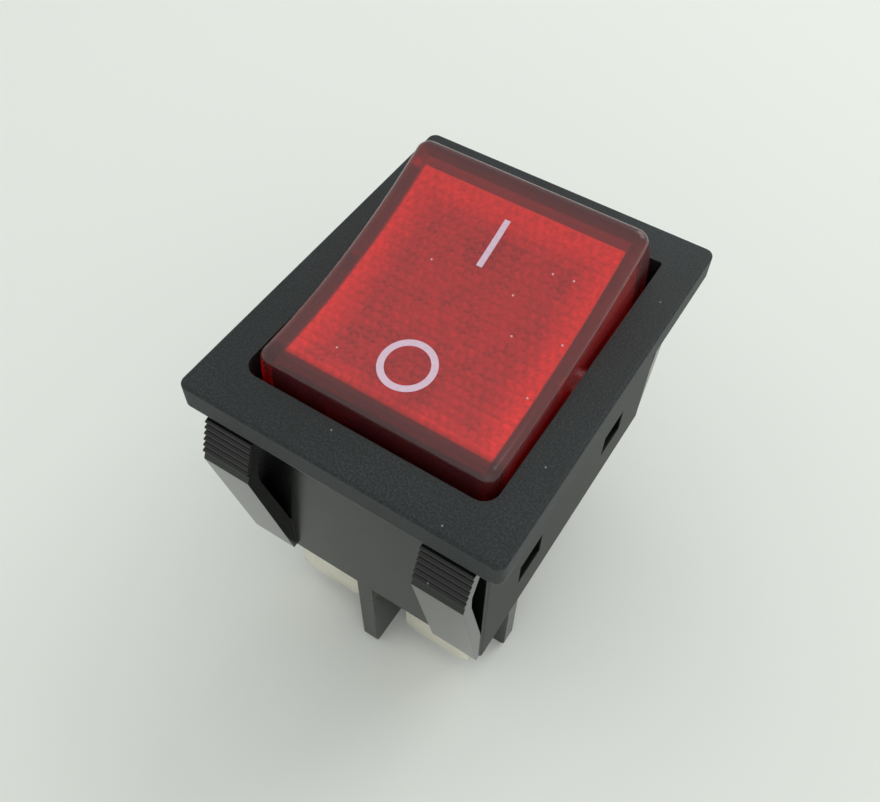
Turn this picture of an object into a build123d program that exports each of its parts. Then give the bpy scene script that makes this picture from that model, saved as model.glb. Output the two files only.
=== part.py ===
from build123d import *
from math import atan2, cos, radians, sin, sqrt, tan
import os

# Illuminated double-pole panel rocker switch, modelled in the OFF position.
# Millimetres. X runs across the switch, Y along it with the OFF end at -Y, Z up and out of the panel.
# The origin is the middle of the panel cut-out, in the plane of the bezel's underside.

# Bezel and body of the housing
bezel_length = 31.0
bezel_width = 25.0
bezel_thickness = 2.1
bezel_corner_radius = 0.7
bezel_edge_radius = 0.25
body_length = 27.1
body_width = 21.7
body_depth = 17.7
body_edge_radius = 0.25
side_wall = 1.15
end_wall = 1.35
floor_thickness = 1.6
opening_round_corner = 1.2
opening_sharp_corner = 0.25

# Snap wings, two on each short end
wing_width = 3.95
wing_side_inset = 0.15
wing_root_reach = 0.4
wing_reach = 3.0
wing_top_reach = 1.65
wing_top_depth = 0.75
wing_peak_depth = 3.6
wing_facet_depth = 4.15
wing_thickness = 0.95
wing_root_height = 4.0
wing_rib_count = 6
wing_rib_height = 0.26
wing_rib_crest = 0.12

# Windows in the long side walls
window_width = 3.3
window_height = 2.6
window_depth = 0.7
window_offset = 6.8
window_top = -11.2

# Insulating ribs under the body
rib_thickness = 1.4
rib_drop = 10.75
rib_corner_radius = 0.5
cross_rib_inset = 0.6
cross_rib_spacing = 4.0

# Rocker, in its own frame: pivot at zero, top up, level
pivot_height = 0.35
rocker_tilt = 12.5
rocker_end_gap = 0.75
rocker_side_gap = 0.4
ridge_height = 5.1
crown_height = 3.95
skirt_depth = 2.8
lens_top = 1.4
lens_end_wall = 1.2
lens_side_wall = 1.1
lens_corner_radius = 1.0
lens_edge_radius = 0.8
pin_radius = 1.4
pin_length = 0.7
running_gap = 0.05

# Marks printed on the lens
mark_thickness = 0.05
on_mark_width = 0.45
on_mark_length = 3.95
on_mark_room = 5.25
off_mark_radius = 2.05
off_mark_stroke = 0.49
off_mark_room = 4.35

# Diffuser and lamp carrier inside the lens
inner_gap = 0.1
diffuser_thickness = 0.8
carrier_wall = 1.0
carrier_floor = 1.0
carrier_depth = 3.8
guide_radius = 2.1
guide_depth = 8.0
guide_ceiling = -1.4
guide_cap = 0.6
lead_hole_radius = 0.4

# Sprung plungers
plunger_radius = 1.25
plunger_gap = 0.05
nose_centre_depth = 9.0
plunger_top_depth = 5.6
spring_wire = 0.3
spring_radius = 0.9
spring_turns = 6

# Lamp, resistor and leads
lamp_radius = 1.8
lamp_end_room = 3.45
lamp_height = -0.95
lamp_pip_radius = 0.6
resistor_radius = 0.9
resistor_guide_room = 1.15
resistor_x = 4.6
resistor_end_room = 1.0
lead_radius = 0.25
lead_bend = 0.6
lead_spacing = 1.2
lead_foot_radius = 1.1
lead_foot_thickness = 0.25
lamp_lead_reach = 2.0
link_lead_reach = 0.7
resistor_lead_reach = 0.5
resistor_lead_run = 0.1

# See-saw contact levers
pole_spacing = 11.0
strip_thickness = 0.8
lever_width = 4.6
lever_swing = 4.5
lever_rise = 11.55
lever_knee_room = 2.2
lever_end_room = 1.4
lever_heel_room = 4.8
fulcrum_radius = 0.4
nose_gap = 0.16
seat_gap = 0.03

# Contacts
contact_spacing = 2.2
contact_radius = 1.5
contact_height = 0.6
shank_radius = 0.7
tail_radius = 1.1
tail_height = 0.3
closing_gap = 0.03

# Blade terminals
blade_width = 6.3
blade_length = 9.3
blade_corner = 0.8
blade_hole_radius = 0.85
blade_hole_rise = 4.2
line_blade_room = 1.2
slot_gap = 0.03
shoulder_overhang = 0.45
shoulder_height = 1.0
ear_gap = 0.15
ear_height = 1.8
tab_reach = 4.1
tab_bend_radius = 0.3

# Barrier, stops and supports inside the housing
barrier_thickness = 1.2
barrier_top = -8.5
stop_width = 12.0
stop_reach = 3.0
stop_thickness = 1.0
stop_gap = 0.06
support_gap = 0.05
post_room = 1.0
post_size = 1.2

# Values that follow from those above
body_half_x = body_width / 2
body_half_y = body_length / 2
inner_half_x = body_half_x - side_wall
inner_half_y = body_half_y - end_wall
floor_top = -body_depth + floor_thickness
rib_bottom = -body_depth - rib_drop
lens_half_x = inner_half_x - rocker_side_gap
end_radius = inner_half_y - rocker_end_gap
ridge_y = sqrt(end_radius**2 - ridge_height**2)
foot_y = sqrt(end_radius**2 - skirt_depth**2)
top_radius = (ridge_y**2 + (ridge_height - crown_height) ** 2) / (2 * (ridge_height - crown_height))
top_centre = crown_height + top_radius
bay_half_x = lens_half_x - lens_side_wall
part_half_x = bay_half_x - inner_gap
part_half_y = ridge_y - lens_end_wall - inner_gap
bore_radius = plunger_radius + plunger_gap
pole_x = pole_spacing / 2
line_blade_y = line_blade_room - inner_half_y
cross_rib_y = line_blade_y + cross_rib_spacing
tab_end_y = line_blade_y + tab_reach
contact_distance = -line_blade_y - contact_spacing
lever_knee = contact_distance - lever_knee_room
lever_reach = contact_distance + lever_end_room
lever_heel = inner_half_y - lever_heel_room
post_y = lever_heel - post_room
on_mark_y = ridge_y - on_mark_room
off_mark_y = off_mark_room - ridge_y
tray_half_y = part_half_y - carrier_wall
resistor_near = guide_radius + resistor_guide_room
resistor_length = tray_half_y - resistor_end_room - resistor_near
resistor_y = resistor_near + resistor_length / 2
resistor_z = -carrier_depth + carrier_floor + resistor_radius
lead_x = lead_spacing / 2
lead_over = guide_ceiling + guide_cap + 2 * lead_radius
lamp_end = tray_half_y - lamp_end_room
lamp_length = 2 * lamp_end

# The lever rocks on the terminal's rounded edge, whose centre lies below the rocker's pivot by
# the plunger's reach, the strip's thickness and the gaps.
under_offset = fulcrum_radius + seat_gap
nose_reach = plunger_radius + nose_gap + strip_thickness + under_offset
lever_z = pivot_height - nose_centre_depth - nose_reach / cos(radians(lever_rise))


def in_rocker(shape):
    """Moves a shape from the rocker's own level frame to its place in the OFF position."""
    return Pos(0, 0, pivot_height) * Rot(rocker_tilt, 0, 0) * shape


def block(x0, x1, y0, y1, z0, z1):
    """A box between two opposite corners."""
    return Pos((x0 + x1) / 2, (y0 + y1) / 2, (z0 + z1) / 2) * Box(x1 - x0, y1 - y0, z1 - z0)


def rod(radius, x, y, z0, z1):
    """An upright cylinder between two heights."""
    return Pos(x, y, (z0 + z1) / 2) * Cylinder(radius, z1 - z0)


def side_profile(face_yz, x0, x1):
    """Extrudes a sketch drawn with Y across and Z up, from x0 to x1."""
    plane = Plane(origin=(x0, 0, 0), x_dir=(0, 1, 0), z_dir=(1, 0, 0))
    return extrude(plane * face_yz, x1 - x0)


def front_profile(face_xz, y0, y1):
    """Extrudes a sketch drawn with X across and Z up, from y0 to y1."""
    plane = Plane(origin=(0, y1, 0), x_dir=(1, 0, 0), z_dir=(0, -1, 0))
    return extrude(plane * face_xz, y1 - y0)


def mirrored(shape, plane):
    """The shape together with its mirror image."""
    return shape + mirror(shape, plane)


def one_solid(shape):
    """The single solid that a fused shape holds."""
    solids = shape.solids()
    assert len(solids) == 1, f"expected one solid, found {len(solids)}"
    return solids[0]


# Housing


def wing_outline():
    """Section of a snap wing at the -Y end: bent strip, ribbed on its upper facet."""
    wall = -body_half_y
    top = (wall - wing_top_reach, -wing_top_depth)
    peak = (wall - wing_reach + wing_rib_height, -wing_peak_depth)
    run = (peak[0] - top[0], peak[1] - top[1])
    length = sqrt(run[0] ** 2 + run[1] ** 2)
    along = (run[0] / length, run[1] / length)
    outward = (along[1], -along[0])
    pitch = length / wing_rib_count
    points = [top]
    for rib in range(wing_rib_count):
        middle = (rib + 0.5) * pitch
        for distance, height in (
            (middle - wing_rib_crest / 2, wing_rib_height),
            (middle + wing_rib_crest / 2, wing_rib_height),
            (middle + pitch / 2, 0),
        ):
            y = top[0] + along[0] * distance + outward[0] * height
            z = top[1] + along[1] * distance + outward[1] * height
            points.append((y, z))
    points.append((wall - wing_reach, -wing_facet_depth))
    points.append((wall - wing_root_reach, -body_depth))
    points.append((wall, -body_depth))
    points.append((wall, -body_depth + wing_root_height))
    points.append((wall - wing_reach + wing_thickness * 1.15, -wing_facet_depth - wing_thickness))
    points.append((wall - wing_reach + wing_thickness * 1.1, -wing_peak_depth))
    points.append((top[0] + wing_thickness, top[1]))
    return make_face(Polyline(*points, close=True))


def wings():
    """The four snap wings."""
    outer = body_half_x - wing_side_inset
    wing = side_profile(wing_outline(), outer - wing_width, outer)
    pair = mirrored(wing, Plane.YZ)
    return mirrored(pair, Plane.XZ)


def rib_plate(length, corner_radius):
    """Outline of a rib that hangs from the body, with its two lower corners rounded."""
    overlap = floor_thickness / 2
    height = rib_drop + overlap
    sheet = Pos(0, rib_bottom + height / 2) * Rectangle(length, height)
    low = [corner for corner in sheet.vertices() if corner.Y < rib_bottom + overlap]
    return fillet(low, corner_radius)


def ribs():
    """The long rib between the two poles and the cross rib between the two rows of blades."""
    long_rib = side_profile(rib_plate(body_length, rib_corner_radius), -rib_thickness / 2, rib_thickness / 2)
    cross_length = 2 * (body_half_x - cross_rib_inset)
    cross_rib = front_profile(
        rib_plate(cross_length, rib_corner_radius),
        cross_rib_y - rib_thickness / 2,
        cross_rib_y + rib_thickness / 2,
    )
    return long_rib + cross_rib


def housing_shell():
    """Bezel and open-topped body, before anything is added inside or below."""
    bezel = extrude(RectangleRounded(bezel_width, bezel_length, bezel_corner_radius), bezel_thickness)
    rim = bezel.faces().sort_by(Axis.Z)[-1].edges()
    bezel = fillet(rim, bezel_edge_radius)
    body_outline = RectangleRounded(body_width, body_length, body_edge_radius)
    body = Pos(0, 0, -body_depth) * extrude(body_outline, body_depth)
    shell = bezel + body
    cavity_sketch = Rectangle(2 * inner_half_x, 2 * inner_half_y)
    near = [corner for corner in cavity_sketch.vertices() if corner.Y < 0]
    cavity_sketch = fillet(near, opening_round_corner)
    far = [corner for corner in cavity_sketch.vertices() if corner.Y > inner_half_y - opening_sharp_corner]
    cavity_sketch = fillet(far, opening_sharp_corner)
    cavity = Pos(0, 0, floor_top) * extrude(cavity_sketch, bezel_thickness - floor_top)
    return shell - cavity


def side_windows():
    """Four shallow windows, two in each long side wall."""
    deep = body_half_x - window_depth
    window = block(
        deep,
        body_half_x,
        window_offset - window_width / 2,
        window_offset + window_width / 2,
        window_top - window_height,
        window_top,
    )
    return mirrored(mirrored(window, Plane.XZ), Plane.YZ)


def pivot_sockets():
    """Blind holes in the side walls for the rocker's pins."""
    depth = pin_length + rocker_side_gap + running_gap
    hole = Pos(inner_half_x + (depth - rocker_side_gap) / 2, 0, pivot_height) * Rot(0, 90, 0)
    socket = hole * Cylinder(pin_radius + running_gap, depth - rocker_side_gap)
    return mirrored(socket, Plane.YZ)


def floor_slots():
    """Slots in the floor for the four blades."""
    half = blade_width / 2 + slot_gap
    thick = strip_thickness / 2 + slot_gap
    slots = Part()
    for y in (line_blade_y, 0):
        slots += block(pole_x - half, pole_x + half, y - thick, y + thick, -body_depth, floor_top)
    return mirrored(slots, Plane.YZ)


def inner_works():
    """Barrier between the poles, end stops for the rocker, and supports for the contacts."""
    half = barrier_thickness / 2
    works = block(-half, half, -inner_half_y, inner_half_y, floor_top, barrier_top)
    # The skirt's lower outer corner meets the stop when its end is pressed.
    below_pivot = atan2(skirt_depth, foot_y) + radians(rocker_tilt)
    stop_top = pivot_height - end_radius * sin(below_pivot) - stop_gap
    stop = block(
        -stop_width / 2,
        stop_width / 2,
        -inner_half_y,
        -inner_half_y + stop_reach,
        stop_top - stop_thickness,
        stop_top,
    )
    works += mirrored(stop, Plane.XZ)
    support = block(
        pole_x - blade_width / 2,
        pole_x + blade_width / 2,
        line_blade_y + strip_thickness / 2 + support_gap,
        tab_end_y,
        floor_top,
        tab_top - strip_thickness,
    )
    support -= block(
        pole_x - blade_width / 2 - shoulder_overhang,
        pole_x + blade_width / 2 + shoulder_overhang,
        line_blade_y - strip_thickness,
        line_blade_y + strip_thickness / 2 + support_gap,
        floor_top,
        tab_top,
    )
    well = tail_height + support_gap
    support -= rod(tail_radius + support_gap, pole_x, contact_y, tab_top - strip_thickness - well, tab_top)
    arm_slope = radians(lever_rise - lever_swing)
    post_top = lever_z + (post_y - post_size / 2) * tan(arm_slope) + under_offset / cos(arm_slope) - seat_gap
    support += block(
        pole_x - lever_width / 2,
        pole_x + lever_width / 2,
        post_y - post_size / 2,
        post_y + post_size / 2,
        floor_top,
        post_top,
    )
    return works + mirrored(support, Plane.YZ)


def housing():
    """The one-piece moulded housing."""
    shell = housing_shell() + wings() + ribs() + inner_works()
    shell -= side_windows()
    shell -= pivot_sockets()
    shell -= floor_slots()
    return one_solid(shell)


# Terminals and fixed contacts


def blade_sketch(top):
    """Front view of a blade about its own middle, from its tip up to a given height."""
    tip = -body_depth - blade_length
    sheet = Pos(0, (tip + top) / 2) * Rectangle(blade_width, top - tip)
    low = [corner for corner in sheet.vertices() if corner.Y < tip + blade_corner]
    sheet = chamfer(low, blade_corner)
    sheet -= Pos(0, tip + blade_hole_rise) * Circle(blade_hole_radius)
    shoulder = Rectangle(blade_width + 2 * shoulder_overhang, shoulder_height)
    return sheet + Pos(0, floor_top + shoulder_height / 2) * shoulder


def common_terminal():
    """Centre-row blade whose rounded upper edge, between two ears, carries the contact lever."""
    ears_inside = lever_width + 2 * ear_gap
    outline = blade_sketch(lever_z + ear_height)
    outline -= Pos(0, lever_z + ear_height / 2) * Rectangle(ears_inside, ear_height)
    half = strip_thickness / 2
    fulcrum = Pos(0, 0, lever_z) * Rot(0, 90, 0) * Cylinder(fulcrum_radius, ears_inside)
    return Pos(pole_x, 0, 0) * (front_profile(outline, -half, half) + fulcrum)


def line_terminal():
    """Blade of the near row, bent over at the top into a tab for the fixed contact."""
    half = strip_thickness / 2
    y0 = line_blade_y - half
    blade = front_profile(blade_sketch(tab_top), y0, line_blade_y + half)
    half_width = blade_width / 2
    tab = block(-half_width, half_width, line_blade_y, tab_end_y, tab_top - strip_thickness, tab_top)
    angle = blade + tab
    bend = angle.edges().filter_by(Axis.X).group_by(Axis.Z)[-1].sort_by(Axis.Y)[0]
    angle = fillet(bend, tab_bend_radius + strip_thickness / 2)
    hole = rod(shank_radius, 0, contact_y, tab_top - strip_thickness, tab_top)
    return Pos(pole_x, 0, 0) * (angle - hole)


def rivet(face_up):
    """A contact rivet about the middle of its strip's face: head, shank and peened tail."""
    head = rod(contact_radius, 0, 0, 0, contact_height)
    rim = head.edges().filter_by(GeomType.CIRCLE).sort_by(Axis.Z)[-1]
    head = chamfer(rim, contact_height / 4)
    shank = rod(shank_radius, 0, 0, -strip_thickness, 0)
    tail = rod(tail_radius, 0, 0, -strip_thickness - tail_height, -strip_thickness)
    whole = head + shank + tail
    return whole if face_up else Rot(180, 0, 0) * whole


# Contact levers, about their pivot


def bent_line(offset):
    """Side view of the lever as a bent line, moved up by an offset from the one through its pivot."""
    rise = tan(radians(lever_rise))
    knee_height = lever_knee * rise
    end_height = knee_height + (lever_reach - lever_knee) * tan(radians(lever_swing))
    through_pivot = [
        (-lever_reach, end_height, -lever_swing, -lever_swing),
        (-lever_knee, knee_height, -lever_swing, -lever_rise),
        (0, 0, -lever_rise, lever_rise),
        (lever_heel, lever_heel * rise, lever_rise, lever_rise),
    ]
    points = []
    for y, z, before, after in through_pivot:
        lean = radians((before + after) / 2)
        reach = offset / cos(radians((after - before) / 2))
        points.append((y - reach * sin(lean), z + reach * cos(lean)))
    return points


def lever_outline():
    """Side view of the bent strip: a shallow V, with the contact arm's end bent back."""
    under = bent_line(under_offset)
    upper = bent_line(under_offset + strip_thickness)
    return make_face(Polyline(*under, *reversed(upper), close=True))


def contact_on_lever():
    """Place of the moving contact on the strip's underside, in the lever's own frame."""
    height = lever_knee * tan(radians(lever_rise))
    height += (contact_distance - lever_knee) * tan(radians(lever_swing))
    return Pos(0, -contact_distance, height) * Rot(-lever_swing, 0, 0) * Pos(0, 0, under_offset)


def contact_lever():
    """The see-saw strip, lying in the OFF position."""
    strip = side_profile(lever_outline(), -lever_width / 2, lever_width / 2)
    hole = contact_on_lever() * rod(shank_radius, 0, 0, -strip_thickness, 2 * strip_thickness)
    return at_pivot(strip - hole)


def at_pivot(shape):
    """Moves a shape from the lever's own frame to the +X pole, in the OFF position."""
    return Pos(pole_x, 0, lever_z) * Rot(-lever_swing, 0, 0) * shape


def closed_contact():
    """Y and Z of the moving contact's face, from the lever's pivot, when the switch is on."""
    place = Rot(lever_swing, 0, 0) * contact_on_lever() * Pos(0, 0, -contact_height)
    return place.position.Y, place.position.Z


contact_y, contact_drop = closed_contact()
fixed_face = lever_z + contact_drop - closing_gap
tab_top = fixed_face - contact_height


# Rocker, in its own level frame


def arc_height(y, depth):
    """Height of the curve that lies a given depth below the lens's hollow top."""
    radius = top_radius + depth
    return top_centre - sqrt(radius**2 - y**2)


def lens_outline(depth, end_depth):
    """Side view of the lens, or of its hollow when the depths are the walls' thicknesses."""
    ends = Circle(end_radius - end_depth)
    upper_part = Rectangle(2 * end_radius, end_radius + skirt_depth)
    above_skirt = Pos(0, (end_radius - skirt_depth) / 2) * upper_part
    return (ends & above_skirt) - Pos(0, top_centre) * Circle(top_radius + depth)


def rocker_lens():
    """The red lens: a hollow cap with a dished top, and its two pivot pins."""
    cap = side_profile(lens_outline(0, 0), -lens_half_x, lens_half_x)
    uprights = [
        edge
        for edge in cap.edges()
        if abs(abs(edge.center().X) - lens_half_x) < inner_gap and abs(edge.center().Y) > ridge_y
    ]
    cap = fillet(uprights, lens_corner_radius)
    top_face = max(cap.faces(), key=lambda face: face.center().Z)
    cap = fillet(top_face.edges(), lens_edge_radius)
    hollow = side_profile(lens_outline(lens_top, lens_end_wall), -bay_half_x, bay_half_x)
    cap -= hollow
    pin = Pos(lens_half_x + pin_length / 2 + rocker_side_gap / 2, 0, 0) * Rot(0, 90, 0)
    pin = pin * Cylinder(pin_radius, pin_length + rocker_side_gap)
    return in_rocker(one_solid(cap + mirrored(pin, Plane.YZ)))


def top_layer(half_x, half_y, depth, thickness):
    """A sheet that follows the lens's dished top, from one depth to a greater one."""
    lower = depth + thickness
    upper_end = arc_height(half_y, depth)
    lower_end = arc_height(half_y, lower)
    edges = Curve() + [
        ThreePointArc((-half_y, upper_end), (0, arc_height(0, depth)), (half_y, upper_end)),
        Line((half_y, upper_end), (half_y, lower_end)),
        ThreePointArc((half_y, lower_end), (0, arc_height(0, lower)), (-half_y, lower_end)),
        Line((-half_y, lower_end), (-half_y, upper_end)),
    ]
    return side_profile(make_face(edges), -half_x, half_x)


def print_mark(sketch):
    """A printed mark: the part of a thin layer on the lens that lies under the sketch."""
    layer = top_layer(lens_half_x, ridge_y, -mark_thickness, mark_thickness)
    column = extrude(sketch, ridge_height + top_radius / 2)
    return in_rocker(one_solid(layer & column))


def diffuser():
    """The milky plate under the lens's top."""
    plate = top_layer(part_half_x, part_half_y, lens_top + inner_gap, diffuser_thickness)
    return in_rocker(one_solid(plate))


def lamp_carrier():
    """The tray that holds the lamp and guides the plungers."""
    rest = lens_top + diffuser_thickness + 2 * inner_gap
    half = part_half_y
    top = arc_height(half, rest)
    edges = Curve() + [
        ThreePointArc((-half, top), (0, arc_height(0, rest)), (half, top)),
        Polyline((half, top), (half, -carrier_depth), (-half, -carrier_depth), (-half, top)),
    ]
    tray = side_profile(make_face(edges), -part_half_x, part_half_x)
    floor = -carrier_depth + carrier_floor
    inside_x = part_half_x - carrier_wall
    tray -= block(-inside_x, inside_x, -tray_half_y, tray_half_y, floor, ridge_height)
    guide_top = guide_ceiling + guide_cap
    guide = rod(guide_radius, pole_x, 0, -guide_depth, guide_top)
    bore = rod(bore_radius, pole_x, 0, -guide_depth, guide_ceiling)
    bore += rod(lead_hole_radius, pole_x, 0, guide_ceiling, guide_top)
    tray += mirrored(guide, Plane.YZ)
    tray -= mirrored(bore, Plane.YZ)
    return in_rocker(one_solid(tray))


def plunger():
    """Brass plunger with a round nose, on the +X pole."""
    body = rod(plunger_radius, pole_x, 0, -nose_centre_depth, -plunger_top_depth)
    nose = Pos(pole_x, 0, -nose_centre_depth) * Sphere(plunger_radius)
    return in_rocker(one_solid(body + nose))


def plunger_spring():
    """Coil spring between the plunger and the lead's foot, on the +X pole."""
    low = -plunger_top_depth + spring_wire / 2
    high = guide_ceiling - lead_foot_thickness - spring_wire / 2
    length = high - low
    path = Helix(length / spring_turns, length, spring_radius)
    section = Plane(origin=path @ 0, z_dir=path % 0) * Circle(spring_wire / 2)
    coil = sweep(section, path=path)
    return in_rocker(Pos(pole_x, 0, low) * one_solid(coil))


def neon_lamp():
    """Glass lamp lying along the tray, with a drawn pip at one end."""
    envelope = Pos(0, 0, lamp_height) * Rot(90, 0, 0) * Cylinder(lamp_radius, lamp_length)
    ends = envelope.edges().filter_by(GeomType.CIRCLE)
    envelope = fillet(ends, lamp_radius / 2)
    pip = Pos(0, -lamp_end, lamp_height) * Sphere(lamp_pip_radius)
    return in_rocker(one_solid(envelope + pip))


def lamp_resistor():
    """Series resistor lying on the tray's floor."""
    body = Rot(90, 0, 0) * Cylinder(resistor_radius, resistor_length)
    body = fillet(body.edges().filter_by(GeomType.CIRCLE), resistor_radius / 3)
    return in_rocker(Pos(resistor_x, resistor_y, resistor_z) * one_solid(body))


def wire(points, bend):
    """A round wire along straight runs joined by arcs."""
    path = FilletPolyline(*points, radius=bend)
    section = Plane(origin=path @ 0, z_dir=path % 0) * Circle(lead_radius)
    return sweep(section, path=path)


def foot(x):
    """Flat end of a lead, which the spring presses against the guide's ceiling."""
    return rod(lead_foot_radius, x, 0, guide_ceiling - lead_foot_thickness, guide_ceiling)


def lamp_lead():
    """Wire from the lamp to the foot on the -X pole."""
    points = [
        (-lead_x, lamp_end, lamp_height),
        (-lead_x, lamp_end + lamp_lead_reach, lamp_height),
        (-pole_x, lamp_end - lamp_lead_reach / 2, lead_over),
        (-pole_x, 0, lead_over),
        (-pole_x, 0, guide_ceiling - lead_foot_thickness / 2),
    ]
    return in_rocker(one_solid(wire(points, lead_bend) + foot(-pole_x)))


def link_lead():
    """Wire from the lamp to the resistor."""
    far = resistor_y + resistor_length / 2 + link_lead_reach
    points = [
        (lead_x, lamp_end, lamp_height),
        (lead_x, far, lamp_height),
        (resistor_x, far, resistor_z),
        (resistor_x, resistor_y + resistor_length / 2, resistor_z),
    ]
    return in_rocker(one_solid(wire(points, lead_bend)))


def resistor_lead():
    """Wire from the resistor to the foot on the +X pole."""
    turn = resistor_near - resistor_lead_reach
    points = [
        (resistor_x, resistor_near, resistor_z),
        (resistor_x, turn, resistor_z),
        (pole_x, turn - resistor_lead_run, lead_over),
        (pole_x, 0, lead_over),
        (pole_x, 0, guide_ceiling - lead_foot_thickness / 2),
    ]
    return in_rocker(one_solid(wire(points, lead_bend / 2) + foot(pole_x)))


def save(shape, name):
    """Writes one node."""
    export_step(shape, f"parts/{name}.step")


def save_pair(shape, name):
    """Writes a piece of the +X pole and its mirror image on the -X pole."""
    save(shape, f"{name}_right")
    save(mirror(shape, Plane.YZ), f"{name}_left")


os.makedirs("parts", exist_ok=True)

save(housing(), "housing")
save_pair(one_solid(common_terminal()), "common_terminal")
save_pair(one_solid(line_terminal()), "line_terminal")
save_pair(one_solid(Pos(pole_x, contact_y, tab_top) * rivet(True)), "fixed_contact")
save_pair(one_solid(contact_lever()), "contact_lever")
save_pair(one_solid(at_pivot(contact_on_lever() * rivet(False))), "moving_contact")

save(rocker_lens(), "rocker_lens")
save(print_mark(Pos(0, on_mark_y) * Rectangle(on_mark_width, on_mark_length)), "on_mark")
ring = Circle(off_mark_radius) - Circle(off_mark_radius - off_mark_stroke)
save(print_mark(Pos(0, off_mark_y) * ring), "off_mark")
save(diffuser(), "diffuser")
save(lamp_carrier(), "lamp_carrier")
save_pair(plunger(), "plunger")
save_pair(plunger_spring(), "plunger_spring")
save(neon_lamp(), "neon_lamp")
save(lamp_resistor(), "lamp_resistor")
save(lamp_lead(), "lamp_lead")
save(link_lead(), "link_lead")
save(resistor_lead(), "resistor_lead")
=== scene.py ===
from math import cos, radians, sin

import bpy
from mathutils import Matrix, Vector


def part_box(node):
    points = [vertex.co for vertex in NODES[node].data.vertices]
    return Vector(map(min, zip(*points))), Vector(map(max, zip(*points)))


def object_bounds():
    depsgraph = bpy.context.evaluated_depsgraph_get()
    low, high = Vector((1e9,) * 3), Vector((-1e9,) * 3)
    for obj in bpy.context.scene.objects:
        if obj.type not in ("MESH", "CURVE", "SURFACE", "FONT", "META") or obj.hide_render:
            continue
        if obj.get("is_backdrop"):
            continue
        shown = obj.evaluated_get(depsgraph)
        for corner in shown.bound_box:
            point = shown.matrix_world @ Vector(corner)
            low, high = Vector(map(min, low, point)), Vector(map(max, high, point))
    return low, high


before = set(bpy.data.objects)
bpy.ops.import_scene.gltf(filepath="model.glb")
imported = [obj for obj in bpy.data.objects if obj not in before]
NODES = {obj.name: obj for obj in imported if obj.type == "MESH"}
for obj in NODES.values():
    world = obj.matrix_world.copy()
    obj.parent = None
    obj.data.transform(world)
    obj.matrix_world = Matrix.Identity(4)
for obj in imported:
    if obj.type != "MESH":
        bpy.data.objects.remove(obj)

bl_info = {
    "name": "Illuminated rocker switch",
    "version": (1, 0, 0),
    "blender": (4, 5, 0),
    "location": "3D View > Sidebar > Switch",
    "description": "Finishes and stage for a panel rocker switch with a red lit rocker",
    "category": "Object",
}

MM = 0.001
SIDES = ("left", "right")

# The body under the bezel, in millimetres: the frame's box takes in the bezel and the wings too.
BODY_WIDTH = 21.7
BODY_LENGTH = 27.1

# Most values of a noise texture lie between these two.
NOISE_LOW, NOISE_HIGH = 0.3, 0.7


def linear(hex_colour):
    """Linear RGBA of an sRGB hex colour, by the curve of the sRGB standard."""
    channels = []
    for at in (0, 2, 4):
        value = int(hex_colour[at:at + 2], 16) / 255
        channels.append(value / 12.92 if value <= 0.04045 else ((value + 0.055) / 1.055) ** 2.4)
    return (*channels, 1.0)


def per_size(millimetres):
    """Texture scale at which one feature of a pattern has the given real size."""
    return 1 / (millimetres * MM)


def add(tree, kind, inputs=None, **settings):
    """Adds one node with its settings, and fills or links its inputs."""
    node = tree.nodes.new(kind)
    for name, value in settings.items():
        setattr(node, name, value)
    for name, value in (inputs or {}).items():
        socket = node.inputs[name]
        if isinstance(value, bpy.types.NodeSocket):
            tree.links.new(value, socket)
        else:
            socket.default_value = value
    return node


def blank_material(name):
    """An empty node material."""
    material = bpy.data.materials.new(name)
    material.use_nodes = True
    material.node_tree.nodes.clear()
    return material


def dress(material, *names):
    """Gives CAD nodes one material."""
    for name in names:
        mesh = NODES[name].data
        mesh.materials.clear()
        mesh.materials.append(material)


def both(*stems):
    """Names of the pieces that each pole has one of."""
    return [f"{stem}_{side}" for stem in stems for side in SIDES]


def colour_property(name, description, hex_colour):
    """A colour that the user can change, with its default as an sRGB hex value."""
    return bpy.props.FloatVectorProperty(
        name=name, description=description, size=4, subtype="COLOR", default=linear(hex_colour)
    )


class SwitchSizes(bpy.types.PropertyGroup):
    """Real sizes of the patterns in the finishes, and the rocker's slope."""

    # Real spark-eroded grain and rolling lines are finer than this. They are drawn coarser to show.
    grain: bpy.props.FloatProperty(
        name="Mould grain", description="Grain of the bezel's spark-eroded texture, in millimetres",
        default=0.16, min=0.02,
    )
    streak: bpy.props.FloatProperty(
        name="Rolling streaks", description="Spacing of the rolling lines in the metal, in millimetres",
        default=0.12, min=0.01,
    )
    ripple: bpy.props.FloatProperty(
        name="Moulding ripple",
        description="Length of the slow waves in the smooth walls and the lens, in millimetres",
        default=5.0, min=0.5,
    )
    prism: bpy.props.FloatProperty(
        name="Prism pitch", description="Pitch of the small pyramids on the diffuser, in millimetres",
        default=0.75, min=0.1,
    )
    mottle: bpy.props.FloatProperty(
        name="Mottle", description="Size of the uneven patches in the lit field, in millimetres",
        default=2.6, min=0.2,
    )
    dust: bpy.props.FloatProperty(
        name="Dust spacing", description="Size of the cells that may hold a speck of dust, in millimetres",
        default=1.6, min=0.2,
    )
    dye_depth: bpy.props.FloatProperty(
        name="Dye depth",
        description="Depth of plastic that takes most other colours out of the light, in millimetres",
        default=1.8, min=0.1,
    )
    rocker_tilt: bpy.props.FloatProperty(
        name="Rocker tilt", description="Slope of the rocker in the stored position",
        default=radians(12.5), subtype="ANGLE",
    )


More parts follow.
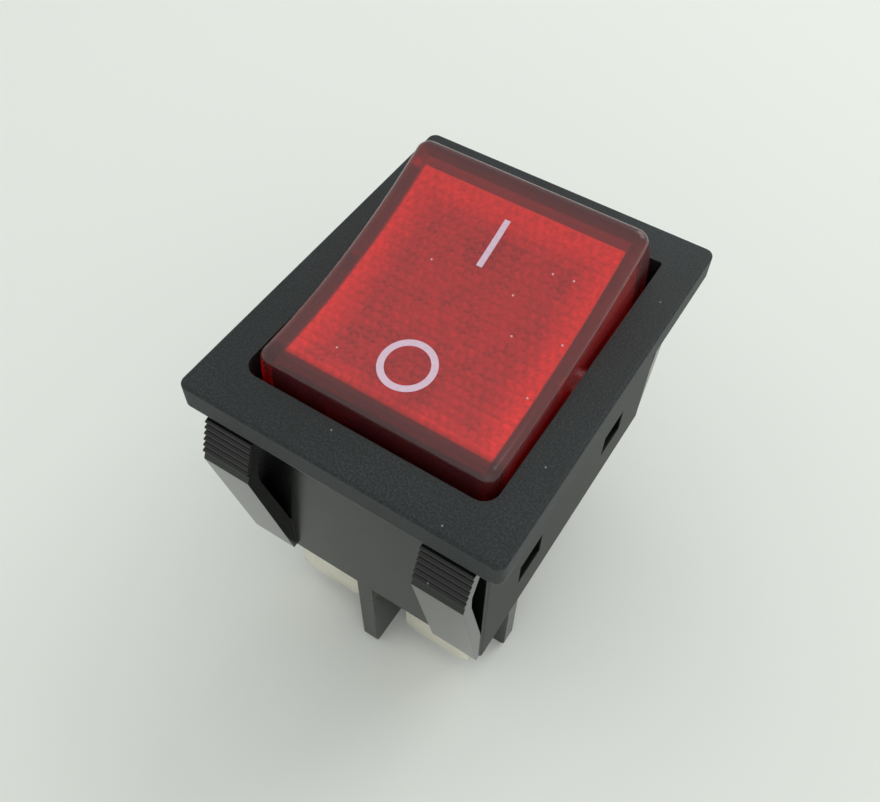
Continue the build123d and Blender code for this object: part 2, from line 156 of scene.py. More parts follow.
class SwitchColours(bpy.types.PropertyGroup):
    """Colours of the finishes."""

    bezel: colour_property("Bezel", "Black nylon of the bezel's textured top", "0F1516")
    wall: colour_property("Walls", "Black nylon of the smooth walls, wings and ribs", "111311")
    dust: colour_property("Dust", "Dust that lies on the black nylon", "74767A")
    lens_through: colour_property("Lens surface", "Tint of the lens's own surface", "FF8A8E")
    # Painted shade: a darker tint for the lens's ends, on top of the dye that the volume absorbs.
    lens_end_shade: colour_property(
        "Lens ends", "Tint of the lens where its thick end walls are seen lengthways", "B0646A"
    )
    lens_shade: colour_property(
        "Lens, light through", "Tint of the light that one surface of the lens lets in", "FFF2F2"
    )
    lens_dye: colour_property("Lens dye", "Colour that the dye in the lens lets through", "FF424A")
    lint: colour_property("Lint", "Lint and dust that lie on the lens", "D8B4B8")
    milky: colour_property("Diffuser", "Milky plastic in the middle of the field", "CDB2B8")
    milky_edge: colour_property("Diffuser edge", "Milky plastic near the field's border", "FFEEA8")
    # Painted shade: the colour put into the hollows between the diffuser's pyramids.
    milky_hollow_shade: colour_property("Diffuser hollows", "Dark hollows between the pyramids", "5A1E26")
    print_ink: colour_property("Print", "White ink of the two marks over the red lens", "DCC0D2")
    acetal: colour_property("Lamp carrier", "White acetal of the lamp carrier", "ECE9E2")
    lacquer: colour_property("Resistor", "Tan lacquer of the resistor", "C8AE82")
    glass: colour_property("Lamp glass", "Glass of the lamp", "F4F6F2")
    plating: colour_property("Blades", "Silver plating of the blades", "FAF5E8")
    silver: colour_property("Contacts", "Fine silver of the contact rivets", "E9E8E3")
    copper: colour_property("Contact levers", "Copper alloy of the contact levers", "D29A6A")
    brass: colour_property("Plungers", "Brass of the plungers", "D8B56A")
    steel: colour_property("Springs", "Steel of the plungers' springs", "B9BABB")
    tin: colour_property("Leads", "Tinned wire of the lamp's leads", "D4D4D0")
    floor: colour_property("Floor", "Plain pale floor", "EEF1EC")
    room: colour_property("Room", "Pale surroundings", "F4F6F4")


def dust_mask(tree, place, sizes):
    """Factor of the sparse specks of dust that lie on faces that look up."""
    # A speck's edge and its full middle, as shares of the spacing.
    edge, middle = 0.055, 0.035
    # Only cells above this chance hold a speck, and only where the face looks up this much.
    rarity, level_enough = 0.93, 0.8
    cells = add(
        tree, "ShaderNodeTexVoronoi",
        {"Vector": place, "Scale": per_size(sizes.dust), "Randomness": 1.0},
        voronoi_dimensions="2D",
    )
    speck = add(
        tree, "ShaderNodeMapRange",
        {"Value": cells.outputs["Distance"], "From Min": edge, "From Max": middle},
    ).outputs[0]
    chance = add(tree, "ShaderNodeSeparateColor", {0: cells.outputs["Color"]}).outputs[0]
    rare = add(tree, "ShaderNodeMath", {0: chance, 1: rarity}, operation="GREATER_THAN").outputs[0]
    outward = add(tree, "ShaderNodeNewGeometry").outputs["Normal"]
    facing = add(tree, "ShaderNodeSeparateXYZ", {0: outward}).outputs["Z"]
    level = add(
        tree, "ShaderNodeMath", {0: facing, 1: level_enough}, operation="GREATER_THAN"
    ).outputs[0]
    lying = add(tree, "ShaderNodeMath", {0: rare, 1: level}, operation="MULTIPLY").outputs[0]
    return add(tree, "ShaderNodeMath", {0: speck, 1: lying}, operation="MULTIPLY").outputs[0]


def black_nylon(sizes, colours):
    """Glass-filled nylon: spark-eroded matt texture on the bezel, smoother mould faces below it."""
    # Where each finish starts and is full: up from the panel, and out from the body's middle.
    bezel_start, bezel_full = 0.0, 0.1 * MM
    side_start, side_full = (BODY_WIDTH / 2 - 0.15) * MM, (BODY_WIDTH / 2 - 0.01) * MM
    wing_start, wing_full = (BODY_LENGTH / 2 + 0.05) * MM, (BODY_LENGTH / 2 + 0.15) * MM
    # Factors on the colour, from the darkest to the palest place.
    patch_dark, patch_pale = 0.8, 1.25
    # The grain's factors are partly its own tone and partly painted glints: the pale specks stand in for
    # light caught by the grain.
    grain_dark, grain_pale = 0.4, 3.2
    grain_low, grain_high = 0.4, 0.66
    # Roughness: the wings are the most polished, and the side walls are nearly as dull as the bezel.
    bezel_least, bezel_most = 0.46, 0.66
    end_least, end_most = 0.2, 0.32
    side_rough, wing_rough = 0.55, 0.12
    edge_radius, pit_depth, ripple_depth = 0.05 * MM, 0.05 * MM, 0.06 * MM

    material = blank_material("black nylon moulded")
    tree = material.node_tree
    place = add(tree, "ShaderNodeTexCoord").outputs["Object"]
    along = add(tree, "ShaderNodeSeparateXYZ", {0: place})
    on_bezel = add(
        tree, "ShaderNodeMapRange",
        {"Value": along.outputs["Z"], "From Min": bezel_start, "From Max": bezel_full},
    ).outputs[0]
    across = add(tree, "ShaderNodeMath", {0: along.outputs["X"]}, operation="ABSOLUTE").outputs[0]
    on_side = add(
        tree, "ShaderNodeMapRange", {"Value": across, "From Min": side_start, "From Max": side_full}
    ).outputs[0]
    lengthways = add(tree, "ShaderNodeMath", {0: along.outputs["Y"]}, operation="ABSOLUTE").outputs[0]
    on_wing = add(
        tree, "ShaderNodeMapRange", {"Value": lengthways, "From Min": wing_start, "From Max": wing_full}
    ).outputs[0]
    # The grain scatters light evenly, so the bezel looks matt where smoother faces mirror the floor.
    grain = add(
        tree, "ShaderNodeTexNoise",
        {"Vector": place, "Scale": per_size(sizes.grain), "Detail": 3.0, "Roughness": 0.6},
    ).outputs[0]
    ripple = add(
        tree, "ShaderNodeTexNoise",
        {"Vector": place, "Scale": per_size(sizes.ripple), "Detail": 2.0, "Roughness": 0.45},
    ).outputs[0]
    patch = add(
        tree, "ShaderNodeMapRange",
        {
            "Value": ripple, "From Min": NOISE_LOW, "From Max": NOISE_HIGH,
            "To Min": patch_dark, "To Max": patch_pale,
        },
    ).outputs[0]
    base = add(
        tree, "ShaderNodeMix", {"Factor": on_bezel, "A": colours.wall, "B": colours.bezel},
        data_type="RGBA",
    ).outputs["Result"]
    tone = add(tree, "ShaderNodeVectorMath", {0: base, "Scale": patch}, operation="SCALE").outputs[0]
    speckle = add(
        tree, "ShaderNodeMapRange",
        {
            "Value": grain, "From Min": grain_low, "From Max": grain_high,
            "To Min": grain_dark, "To Max": grain_pale,
        },
    ).outputs[0]
    # Painted glints mixed with the grain's own tone, on the bezel only.
    grain_and_glints = add(
        tree, "ShaderNodeVectorMath", {0: tone, "Scale": speckle}, operation="SCALE"
    ).outputs[0]
    toned = add(
        tree, "ShaderNodeMix", {"Factor": on_bezel, "A": tone, "B": grain_and_glints}, data_type="RGBA"
    ).outputs["Result"]
    dust = dust_mask(tree, place, sizes)
    dusty = add(
        tree, "ShaderNodeMix", {"Factor": dust, "A": toned, "B": colours.dust}, data_type="RGBA"
    ).outputs["Result"]
    bezel_rough = add(
        tree, "ShaderNodeMapRange", {"Value": grain, "To Min": bezel_least, "To Max": bezel_most}
    ).outputs[0]
    end_rough = add(
        tree, "ShaderNodeMapRange", {"Value": ripple, "To Min": end_least, "To Max": end_most}
    ).outputs[0]
    wall_rough = add(
        tree, "ShaderNodeMix", {"Factor": on_side, "A": end_rough, "B": side_rough}, data_type="FLOAT"
    ).outputs["Result"]
    lower_rough = add(
        tree, "ShaderNodeMix", {"Factor": on_wing, "A": wall_rough, "B": wing_rough}, data_type="FLOAT"
    ).outputs["Result"]
    rough = add(
        tree, "ShaderNodeMix", {"Factor": on_bezel, "A": lower_rough, "B": bezel_rough},
        data_type="FLOAT",
    ).outputs["Result"]
    eased = add(tree, "ShaderNodeBevel", {"Radius": edge_radius}, samples=4).outputs[0]
    pits = add(tree, "ShaderNodeMath", {0: grain, 1: on_bezel}, operation="MULTIPLY").outputs[0]
    grained = add(
        tree, "ShaderNodeBump",
        {"Strength": 0.8, "Distance": pit_depth, "Height": pits, "Normal": eased},
    ).outputs[0]
    normal = add(
        tree, "ShaderNodeBump",
        {"Strength": 0.35, "Distance": ripple_depth, "Height": ripple, "Normal": grained},
    ).outputs[0]
    surface = add(
        tree, "ShaderNodeBsdfPrincipled",
        {
            "Base Color": dusty, "Roughness": rough, "IOR": 1.53, "Specular IOR Level": 0.42,
            "Normal": normal,
        },
    )
    add(tree, "ShaderNodeOutputMaterial", {"Surface": surface.outputs[0]})
    return material


def red_polycarbonate(sizes, colours):
    """Clear polycarbonate dyed red: glossy, and darker the more of it is looked through; its ends are
    darkened further by painted shade.
    """
    least_rough, most_rough = 0.12, 0.26
    # Handling leaves marks about twice as wide as the mould's grain.
    mark_width = sizes.grain * 2
    wave_depth, mark_depth = 0.05 * MM, 0.01 * MM
    # Past the diffuser's end, the tint deepens over this length of the lens: painted shade on the lens's
    # ends.
    end_length = 0.6 * MM

    material = blank_material("red polycarbonate clear")
    tree = material.node_tree
    place = add(tree, "ShaderNodeTexCoord").outputs["Object"]
    ripple = add(
        tree, "ShaderNodeTexNoise",
        {"Vector": place, "Scale": per_size(sizes.ripple), "Detail": 4.0, "Roughness": 0.65},
    ).outputs[0]
    handled = add(
        tree, "ShaderNodeTexNoise",
        {"Vector": place, "Scale": per_size(mark_width), "Detail": 3.0, "Roughness": 0.7},
    ).outputs[0]
    rough = add(
        tree, "ShaderNodeMapRange", {"Value": ripple, "To Min": least_rough, "To Max": most_rough}
    ).outputs[0]
    waved = add(
        tree, "ShaderNodeBump", {"Strength": 0.25, "Distance": wave_depth, "Height": ripple}
    ).outputs[0]
    normal = add(
        tree, "ShaderNodeBump",
        {"Strength": 0.25, "Distance": mark_depth, "Height": handled, "Normal": waved},
    ).outputs[0]
    low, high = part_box("diffuser")
    middle = (low.y + high.y) / 2
    half_length = (high.y - low.y) / 2
    along = add(tree, "ShaderNodeSeparateXYZ", {0: place})
    off_middle = add(
        tree, "ShaderNodeMath", {0: along.outputs["Y"], 1: middle}, operation="SUBTRACT"
    ).outputs[0]
    lengthways = add(tree, "ShaderNodeMath", {0: off_middle}, operation="ABSOLUTE").outputs[0]
    # Mask of the painted shade at the lens's ends.
    end_shade_mask = add(
        tree, "ShaderNodeMapRange",
        {"Value": lengthways, "From Min": half_length, "From Max": half_length + end_length},
    ).outputs[0]
    tint = add(
        tree, "ShaderNodeMix", {"Factor": end_shade_mask, "A": colours.lens_through, "B": colours.lens_end_shade},
        data_type="RGBA",
    ).outputs["Result"]
    clear = add(
        tree, "ShaderNodeBsdfPrincipled",
        {
            "Base Color": tint, "Roughness": rough, "IOR": 1.58, "Transmission Weight": 0.93,
            "Normal": normal,
        },
    ).outputs[0]
    # Lint and dust lie on the glossy top as pale specks.
    dust = dust_mask(tree, place, sizes)
    lint = add(tree, "ShaderNodeBsdfDiffuse", {"Color": colours.lint}).outputs[0]
    dusty = add(tree, "ShaderNodeMixShader", {0: dust, 1: clear, 2: lint}).outputs[0]
    # Shadow rays pass straight through, so light reaches the diffuser under the lens.
    lit = add(tree, "ShaderNodeBsdfTransparent", {"Color": colours.lens_shade}).outputs[0]
    shadow = add(tree, "ShaderNodeLightPath").outputs["Is Shadow Ray"]
    lens = add(tree, "ShaderNodeMixShader", {0: shadow, 1: dusty, 2: lit}).outputs[0]
    dye = add(
        tree, "ShaderNodeVolumeAbsorption",
        {"Color": colours.lens_dye, "Density": per_size(sizes.dye_depth)},
    ).outputs[0]
    add(tree, "ShaderNodeOutputMaterial", {"Surface": lens, "Volume": dye})
    return material


def milky_polystyrene(sizes, colours):
    """White polystyrene with rows of small pyramids, which break the light into a fine grid, painted here
    as shade in the hollows between them.
    """
    pitch = sizes.prism * MM
    half_pitch = pitch / 2
    # The painted shade in the hollow between pyramids starts and is full where both slopes are this low.
    hollow_start, hollow_full = 0.8, 0.2
    # How dark the painted shade in a hollow is: by the patch that it lies in, by its own chance, and by
    # its depth.
    patch_low, patch_high = 0.38, 0.62
    patch_least, patch_most = 0.3, 1.0
    own_least, own_most = 0.15, 1.0
    depth_least, depth_most = 0.3, 1.0
    # The border, where the painted shade of the hollows fades out, in from the sides and from the ends.
    side_start, side_full = 2.6 * MM, 0.4 * MM
    end_start, end_full = 2.2 * MM, 0.3 * MM
    speckle_width = sizes.prism / 2
    speckle_dark, speckle_pale = 0.62, 1.2
    pyramid_height = 0.18 * MM

    material = blank_material("milky polystyrene prismatic")
    tree = material.node_tree
    place = add(tree, "ShaderNodeTexCoord").outputs["Object"]
    level = add(
        tree, "ShaderNodeMapping", {"Vector": place, "Rotation": (-sizes.rocker_tilt, 0.0, 0.0)}
    ).outputs[0]
    along = add(tree, "ShaderNodeSeparateXYZ", {0: level})
    # Each row is shifted by half a pitch against the one before it.
    row = add(
        tree, "ShaderNodeMath", {0: along.outputs["Y"], 1: pitch}, operation="DIVIDE"
    ).outputs[0]
    row_number = add(tree, "ShaderNodeMath", {0: row}, operation="FLOOR").outputs[0]
    shifted = add(
        tree, "ShaderNodeMath", {0: row_number, 1: half_pitch, 2: along.outputs["X"]},
        operation="MULTIPLY_ADD",
    ).outputs[0]
    slopes = []
    for distance in (shifted, along.outputs["Y"]):
        wave = add(
            tree, "ShaderNodeMath", {0: distance, 1: half_pitch}, operation="PINGPONG"
        ).outputs[0]
        slopes.append(
            add(tree, "ShaderNodeMath", {0: wave, 1: half_pitch}, operation="DIVIDE").outputs[0]
        )
    pyramid = add(
        tree, "ShaderNodeMath", {0: slopes[0], 1: slopes[1]}, operation="MINIMUM"
    ).outputs[0]
    corner = add(
        tree, "ShaderNodeMath", {0: slopes[0], 1: slopes[1]}, operation="MAXIMUM"
    ).outputs[0]
    hollow = add(
        tree, "ShaderNodeMapRange",
        {"Value": corner, "From Min": hollow_start, "From Max": hollow_full},
    ).outputs[0]
    staggered = add(
        tree, "ShaderNodeCombineXYZ", {"X": shifted, "Y": along.outputs["Y"]}
    ).outputs[0]
    cell = add(
        tree, "ShaderNodeVectorMath", {0: staggered, 1: (pitch, pitch, pitch)}, operation="SNAP"
    ).outputs[0]
    uneven = add(tree, "ShaderNodeTexWhiteNoise", {0: cell}, noise_dimensions="3D").outputs[0]
    mottle = add(
        tree, "ShaderNodeTexNoise",
        {"Vector": level, "Scale": per_size(sizes.mottle), "Detail": 3.0, "Roughness": 0.6},
    ).outputs[0]
    patch = add(
        tree, "ShaderNodeMapRange",
        {
            "Value": mottle, "From Min": patch_low, "From Max": patch_high,
            "To Min": patch_least, "To Max": patch_most,
        },
    ).outputs[0]
    own = add(
        tree, "ShaderNodeMapRange", {"Value": uneven, "To Min": own_least, "To Max": own_most}
    ).outputs[0]
    share = add(tree, "ShaderNodeMath", {0: patch, 1: own}, operation="MULTIPLY").outputs[0]
    depth = add(
        tree, "ShaderNodeMapRange", {"Value": hollow, "To Min": depth_least, "To Max": depth_most}
    ).outputs[0]
    hollow_shade_amount = add(tree, "ShaderNodeMath", {0: depth, 1: share}, operation="MULTIPLY").outputs[0]
    low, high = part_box("diffuser")
    middle = (low.y + high.y) / 2
    half_width = high.x
    half_length = (high.y - low.y) / 2
    across = add(tree, "ShaderNodeMath", {0: along.outputs["X"]}, operation="ABSOLUTE").outputs[0]
    near_side = add(
        tree, "ShaderNodeMapRange",
        {"Value": across, "From Min": half_width - side_start, "From Max": half_width - side_full},
    ).outputs[0]
    off_middle = add(
        tree, "ShaderNodeMath", {0: along.outputs["Y"], 1: middle}, operation="SUBTRACT"
    ).outputs[0]
    lengthways = add(tree, "ShaderNodeMath", {0: off_middle}, operation="ABSOLUTE").outputs[0]
    near_end = add(
        tree, "ShaderNodeMapRange",
        {"Value": lengthways, "From Min": half_length - end_start, "From Max": half_length - end_full},
    ).outputs[0]
    border = add(
        tree, "ShaderNodeMath", {0: near_side, 1: near_end}, operation="MAXIMUM"
    ).outputs[0]
    inside = add(tree, "ShaderNodeMath", {0: 1.0, 1: border}, operation="SUBTRACT").outputs[0]
    painted_hollow_shade = add(tree, "ShaderNodeMath", {0: hollow_shade_amount, 1: inside}, operation="MULTIPLY").outputs[0]
    fine = add(
        tree, "ShaderNodeTexNoise",
        {"Vector": level, "Scale": per_size(speckle_width), "Detail": 4.0, "Roughness": 0.75},
    ).outputs[0]
    speckle = add(
        tree, "ShaderNodeMapRange",
        {
            "Value": fine, "From Min": NOISE_LOW, "From Max": NOISE_HIGH,
            "To Min": speckle_dark, "To Max": speckle_pale,
        },
    ).outputs[0]
    field = add(
        tree, "ShaderNodeMix", {"Factor": border, "A": colours.milky, "B": colours.milky_edge},
        data_type="RGBA",
    ).outputs["Result"]
    # Painted shade: the hollows are mixed towards their dark colour.
    tone = add(
        tree, "ShaderNodeMix", {"Factor": painted_hollow_shade, "A": field, "B": colours.milky_hollow_shade}, data_type="RGBA"
    ).outputs["Result"]
    speckled = add(
        tree, "ShaderNodeVectorMath", {0: tone, "Scale": speckle}, operation="SCALE"
    ).outputs[0]
    normal = add(
        tree, "ShaderNodeBump", {"Strength": 0.6, "Distance": pyramid_height, "Height": pyramid}
    ).outputs[0]
    surface = add(
        tree, "ShaderNodeBsdfPrincipled",
        {"Base Color": speckled, "Roughness": 0.35, "IOR": 1.59, "Normal": normal},
    )
    add(tree, "ShaderNodeOutputMaterial", {"Surface": surface.outputs[0]})
    return material


def plain_moulding(name, colour, roughness, grain):
    """A moulded or coated surface of one colour, with a faint grain in its tone and gloss."""
    tone_dark, tone_pale = 0.93, 1.05
    roughness_spread = 0.06
    grain_depth = 0.01 * MM

    material = blank_material(name)
    tree = material.node_tree
    place = add(tree, "ShaderNodeTexCoord").outputs["Object"]
    cloud = add(
        tree, "ShaderNodeTexNoise",
        {"Vector": place, "Scale": per_size(grain), "Detail": 3.0, "Roughness": 0.55},
    ).outputs[0]
    shade = add(
        tree, "ShaderNodeMapRange",
        {
            "Value": cloud, "From Min": NOISE_LOW, "From Max": NOISE_HIGH,
            "To Min": tone_dark, "To Max": tone_pale,
        },
    ).outputs[0]
    tone = add(
        tree, "ShaderNodeVectorMath", {0: colour[:3], "Scale": shade}, operation="SCALE"
    ).outputs[0]
    rough = add(
        tree, "ShaderNodeMapRange",
        {
            "Value": cloud, "To Min": roughness - roughness_spread,
            "To Max": roughness + roughness_spread,
        },
    ).outputs[0]
    normal = add(
        tree, "ShaderNodeBump", {"Strength": 0.2, "Distance": grain_depth, "Height": cloud}
    ).outputs[0]
    surface = add(
        tree, "ShaderNodeBsdfPrincipled",
        {"Base Color": tone, "Roughness": rough, "IOR": 1.5, "Normal": normal},
    )
    add(tree, "ShaderNodeOutputMaterial", {"Surface": surface.outputs[0]})
    return material


def rolled_metal(name, colour, roughness, streak):
    """A worked metal, with fine lines in its gloss that run up and down, as on the blades."""
    line_stretch = (1.0, 1.0, 0.04)
    # Tarnish comes in patches many streaks wide.
    patch_width = streak * 20
    patch_dark, patch_pale = 0.88, 1.04
    glossier, duller = 0.08, 0.1
    edge_radius, line_depth = 0.08 * MM, 0.01 * MM

    material = blank_material(name)
    tree = material.node_tree
    place = add(tree, "ShaderNodeTexCoord").outputs["Object"]
    stretched = add(tree, "ShaderNodeMapping", {"Vector": place, "Scale": line_stretch}).outputs[0]
    lines = add(
        tree, "ShaderNodeTexNoise",
        {"Vector": stretched, "Scale": per_size(streak), "Detail": 2.0, "Roughness": 0.6},
    ).outputs[0]
    cloud = add(
        tree, "ShaderNodeTexNoise",
        {"Vector": place, "Scale": per_size(patch_width), "Detail": 3.0, "Roughness": 0.6},
    ).outputs[0]
    shade = add(
        tree, "ShaderNodeMapRange",
        {
            "Value": cloud, "From Min": NOISE_LOW, "From Max": NOISE_HIGH,
            "To Min": patch_dark, "To Max": patch_pale,
        },
    ).outputs[0]
    tone = add(
        tree, "ShaderNodeVectorMath", {0: colour[:3], "Scale": shade}, operation="SCALE"
    ).outputs[0]
    rough = add(
        tree, "ShaderNodeMapRange",
        {"Value": lines, "To Min": roughness - glossier, "To Max": roughness + duller},
    ).outputs[0]
    eased = add(tree, "ShaderNodeBevel", {"Radius": edge_radius}, samples=4).outputs[0]
    normal = add(
        tree, "ShaderNodeBump",
        {"Strength": 0.2, "Distance": line_depth, "Height": lines, "Normal": eased},
    ).outputs[0]
    surface = add(
        tree, "ShaderNodeBsdfPrincipled",
        {"Base Color": tone, "Metallic": 1.0, "Roughness": rough, "Normal": normal},
    )
    add(tree, "ShaderNodeOutputMaterial", {"Surface": surface.outputs[0]})
    return material


def soda_glass(colour):
    """Thin drawn soda glass, faintly uneven along its tube."""
    wave_length = 1.5
    wave_depth = 0.03 * MM

    material = blank_material("soda glass drawn")
    tree = material.node_tree
    place = add(tree, "ShaderNodeTexCoord").outputs["Object"]
    wave = add(
        tree, "ShaderNodeTexNoise", {"Vector": place, "Scale": per_size(wave_length), "Detail": 1.0}
    ).outputs[0]
    normal = add(
        tree, "ShaderNodeBump", {"Strength": 0.1, "Distance": wave_depth, "Height": wave}
    ).outputs[0]
    surface = add(
        tree, "ShaderNodeBsdfPrincipled",
        {
            "Base Color": colour, "Roughness": 0.02, "IOR": 1.51, "Transmission Weight": 1.0,
            "Normal": normal,
        },
    )
    add(tree, "ShaderNodeOutputMaterial", {"Surface": surface.outputs[0]})
    return material


def plain_card(colour):
    """Smooth matt card: it takes soft shadows and gives no glare."""
    material = blank_material("pale card matt")
    tree = material.node_tree
    surface = add(
        tree, "ShaderNodeBsdfPrincipled", {"Base Color": colour, "Roughness": 0.9, "IOR": 1.45}
    )
    add(tree, "ShaderNodeOutputMaterial", {"Surface": surface.outputs[0]})
    return material


class SWITCH_OT_housing(bpy.types.Operator):
    """Finish the moulded housing with its bezel, wings and ribs."""

    bl_idname = "switch.housing"
    bl_label = "Housing"

    def execute(self, context):
        scene = context.scene
        dress(black_nylon(scene.switch_sizes, scene.switch_colours), "housing")
        return {"FINISHED"}


class SWITCH_OT_rocker(bpy.types.Operator):
    """Finish the red rocker lens, the milky diffuser under it and the lamp carrier."""

    bl_idname = "switch.rocker"
    bl_label = "Rocker"

    def execute(self, context):
        sizes = context.scene.switch_sizes
        colours = context.scene.switch_colours
        dress(red_polycarbonate(sizes, colours), "rocker_lens")
        dress(milky_polystyrene(sizes, colours), "diffuser")
        # White acetal is a little waxy, so its highlights are broad.
        acetal = plain_moulding("white acetal moulded", colours.acetal, roughness=0.42, grain=1.2)
        dress(acetal, "lamp_carrier")
        return {"FINISHED"}


class SWITCH_OT_marks(bpy.types.Operator):
    """Finish the two marks printed on the rocker."""

    bl_idname = "switch.marks"
    bl_label = "Printed marks"

    def execute(self, context):
        colours = context.scene.switch_colours
        # Pad-printed ink lies thin on the lens, so the red shows a little through its white.
        ink = plain_moulding("white pad print", colours.print_ink, roughness=0.5, grain=0.3)
        dress(ink, "on_mark", "off_mark")
        return {"FINISHED"}


class SWITCH_OT_terminals(bpy.types.Operator):
    """Finish the four blade terminals."""

    bl_idname = "switch.terminals"
    bl_label = "Blade terminals"

    def execute(self, context):
        colours = context.scene.switch_colours
        streak = context.scene.switch_sizes.streak
        # Silver plating over brass keeps the strip's rolling lines and turns slightly cream.
        plated = rolled_metal(
            "silver plated brass rolled", colours.plating, roughness=0.24, streak=streak
        )
        dress(plated, *both("line_terminal", "common_terminal"))
        return {"FINISHED"}


class SWITCH_OT_contacts(bpy.types.Operator):
    """Finish the contact levers and the four contact rivets."""

    bl_idname = "switch.contacts"
    bl_label = "Contacts"

    def execute(self, context):
        colours = context.scene.switch_colours
        streak = context.scene.switch_sizes.streak
        # Fine silver is paler than the levers, which keep the warm colour of their copper.
        silver = rolled_metal("fine silver headed", colours.silver, roughness=0.34, streak=streak)
        dress(silver, *both("fixed_contact", "moving_contact"))
        copper = rolled_metal("copper alloy rolled", colours.copper, roughness=0.3, streak=streak)
        dress(copper, *both("contact_lever"))
        return {"FINISHED"}


class SWITCH_OT_plungers(bpy.types.Operator):
    """Finish the two plungers and their springs."""

    bl_idname = "switch.plungers"
    bl_label = "Plungers and springs"

    def execute(self, context):
        colours = context.scene.switch_colours
        streak = context.scene.switch_sizes.streak
        # Turning and drawing leave finer lines than rolling does.
        brass = rolled_metal("brass turned", colours.brass, roughness=0.26, streak=streak / 2)
        dress(brass, *both("plunger"))
        steel = rolled_metal("spring steel drawn", colours.steel, roughness=0.3, streak=streak / 3)
        dress(steel, *both("plunger_spring"))
        return {"FINISHED"}


class SWITCH_OT_lamp(bpy.types.Operator):
    """Finish the lamp, its resistor and the wires between them."""

    bl_idname = "switch.lamp"
    bl_label = "Lamp, resistor and leads"

    def execute(self, context):
        colours = context.scene.switch_colours
        streak = context.scene.switch_sizes.streak
        dress(soda_glass(colours.glass), "neon_lamp")
        # The resistor's lacquer is an even satin tan.
        lacquer = plain_moulding("lacquered resistor body", colours.lacquer, roughness=0.38, grain=0.4)
        dress(lacquer, "lamp_resistor")
        # Hot-dipped tin is smooth and bright, with finer lines than the blades.
        tin = rolled_metal("tinned copper wire", colours.tin, roughness=0.3, streak=streak / 2)
        dress(tin, "lamp_lead", "link_lead", "resistor_lead")
        return {"FINISHED"}


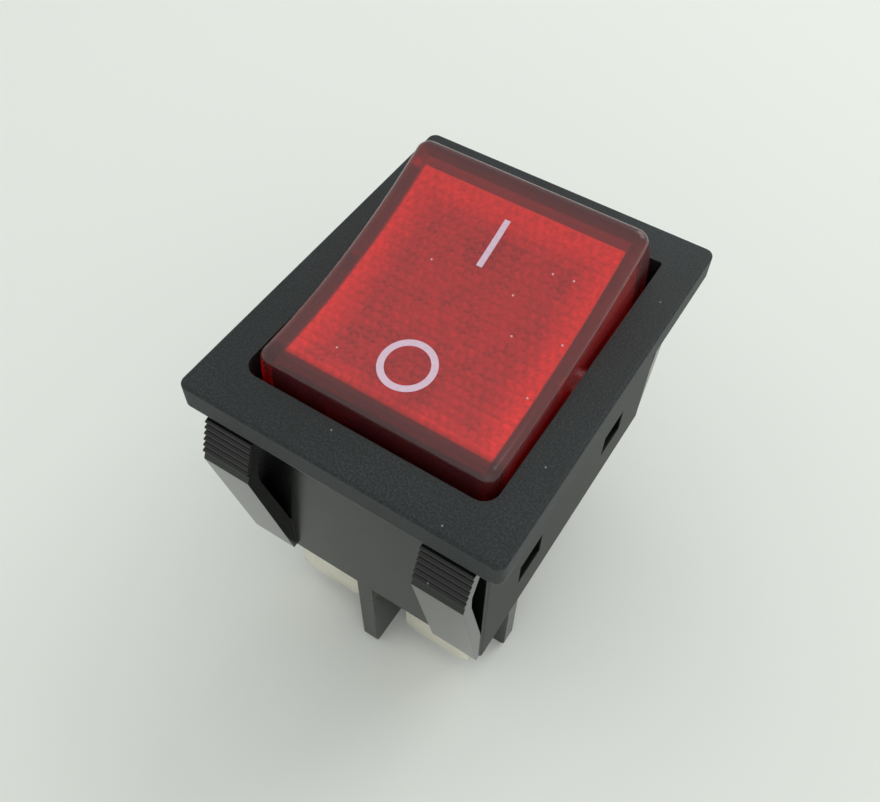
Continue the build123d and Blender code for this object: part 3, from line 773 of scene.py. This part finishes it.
class SWITCH_OT_stage(bpy.types.Operator):
    """Build the plain floor, the soft lamps, the pale surroundings and the camera."""

    bl_idname = "switch.stage"
    bl_label = "Stage"

    def execute(self, context):
        scene = context.scene
        low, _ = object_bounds()
        self.floor(scene, low.z)
        self.surroundings(scene)
        # Places and sizes in metres, powers in watts. The window is behind the switch, to its right.
        self.lamp(scene, "window light", place=(0.1, 0.34, 0.28), size=0.34, power=0.58)
        self.lamp(scene, "room light", place=(0.2, -0.3, 0.2), size=0.4, power=0.14)
        self.camera(scene)
        scene.view_settings.view_transform = "Standard"
        return {"FINISHED"}

    def floor(self, scene, height):
        """Level floor under the switch, wide enough to fill a low view."""
        half = 1.5
        mesh = bpy.data.meshes.new("floor")
        corners = [
            (-half, -half, height), (half, -half, height), (half, half, height), (-half, half, height),
        ]
        mesh.from_pydata(corners, [], [(0, 1, 2, 3)])
        floor = bpy.data.objects.new("floor", mesh)
        scene.collection.objects.link(floor)
        mesh.materials.append(plain_card(scene.switch_colours.floor))
        floor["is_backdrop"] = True

    def surroundings(self, scene):
        """Even pale light from all round."""
        world = bpy.data.worlds.new("pale room")
        world.use_nodes = True
        tree = world.node_tree
        tree.nodes.clear()
        room = scene.switch_colours.room
        sky = add(tree, "ShaderNodeBackground", {"Color": room, "Strength": 0.8})
        add(tree, "ShaderNodeOutputWorld", {"Surface": sky.outputs[0]})
        scene.world = world

    def lamp(self, scene, name, place, size, power):
        """One square lamp that looks at the switch."""
        data = bpy.data.lights.new(name, "AREA")
        data.size = size
        data.energy = power
        lamp = bpy.data.objects.new(name, data)
        lamp.location = place
        lamp.rotation_euler = (-Vector(place)).to_track_quat("-Z", "Y").to_euler()
        scene.collection.objects.link(lamp)

    def camera(self, scene):
        """The photograph's view, as a camera fitted to the edges of the bezel and the body gives it."""
        azimuth, elevation, roll = radians(32.17), radians(54.0), radians(-0.89)
        # The place is in metres, and the sensor and the focal length are in millimetres.
        place = (0.02202, -0.03766, 0.05166)
        sensor_width, focal_length = 36.0, 38.484
        nearest = 1 * MM
        forward = Vector(
            (-sin(azimuth) * cos(elevation), cos(azimuth) * cos(elevation), -sin(elevation))
        )
        level = forward.cross(Vector((0, 0, 1))).normalized()
        right = level * cos(roll) + forward.cross(level) * sin(roll)
        up = right.cross(forward)
        turned = Matrix((right, up, -forward)).transposed().to_4x4()
        data = bpy.data.cameras.new("camera")
        data.sensor_fit = "HORIZONTAL"
        data.sensor_width = sensor_width
        data.lens = focal_length
        data.clip_start = nearest
        camera = bpy.data.objects.new("camera", data)
        camera.matrix_world = Matrix.Translation(place) @ turned
        scene.collection.objects.link(camera)
        scene.camera = camera


class SWITCH_PT_panel(bpy.types.Panel):
    """Lists the steps, sizes and colours of the switch."""

    bl_label = "Rocker switch"
    bl_idname = "SWITCH_PT_panel"
    bl_space_type = "VIEW_3D"
    bl_region_type = "UI"
    bl_category = "Switch"

    def draw(self, context):
        layout = self.layout
        for operator in OPERATORS:
            layout.operator(operator.bl_idname)
        for group in (context.scene.switch_sizes, context.scene.switch_colours):
            for name in group.bl_rna.properties.keys():
                if name not in ("rna_type", "name"):
                    layout.prop(group, name)


OPERATORS = (
    SWITCH_OT_housing,
    SWITCH_OT_rocker,
    SWITCH_OT_marks,
    SWITCH_OT_terminals,
    SWITCH_OT_contacts,
    SWITCH_OT_plungers,
    SWITCH_OT_lamp,
    SWITCH_OT_stage,
)
CLASSES = (SwitchSizes, SwitchColours, *OPERATORS, SWITCH_PT_panel)


def register():
    for item in CLASSES:
        bpy.utils.register_class(item)
    bpy.types.Scene.switch_sizes = bpy.props.PointerProperty(type=SwitchSizes)
    bpy.types.Scene.switch_colours = bpy.props.PointerProperty(type=SwitchColours)


def unregister():
    del bpy.types.Scene.switch_colours
    del bpy.types.Scene.switch_sizes
    for item in reversed(CLASSES):
        bpy.utils.unregister_class(item)


def main():
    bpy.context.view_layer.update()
    register()
    bpy.ops.switch.housing()
    bpy.ops.switch.rocker()
    bpy.ops.switch.marks()
    bpy.ops.switch.terminals()
    bpy.ops.switch.contacts()
    bpy.ops.switch.plungers()
    bpy.ops.switch.lamp()
    bpy.ops.switch.stage()


if __name__ == "__main__":
    main()
